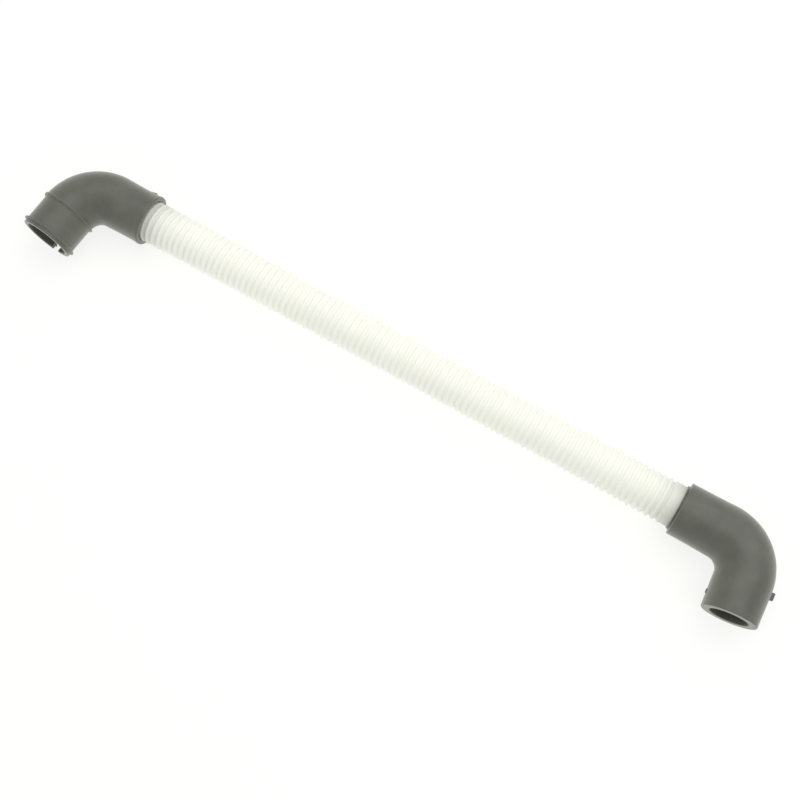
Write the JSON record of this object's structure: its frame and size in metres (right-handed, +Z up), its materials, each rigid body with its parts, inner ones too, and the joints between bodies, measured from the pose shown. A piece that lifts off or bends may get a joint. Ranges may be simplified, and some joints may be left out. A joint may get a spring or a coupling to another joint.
{
  "type": "appliance hose",
  "caption": "Straight corrugated plastic hose with a moulded rubber elbow pushed over each end, one elbow with ridges and a notched lip.",
  "frame": {"origin": "middle of the outline seen from above, on the surface that the hose lies on", "axes": "+X along the hose from the ribbed elbow to the plain elbow, -Y the way both mouths face, +Z up"},
  "size_m": [0.451, 0.0546, 0.0327],
  "materials": {
    "hose_plastic": "satin, slightly milky",
    "elbow_rubber": "satin, moulded"
  },
  "bodies": {
    "root": {"corrugated_hose": "hose_plastic", "ribbed_elbow": "elbow_rubber", "plain_elbow": "elbow_rubber"}
  },
  "joints": []
}
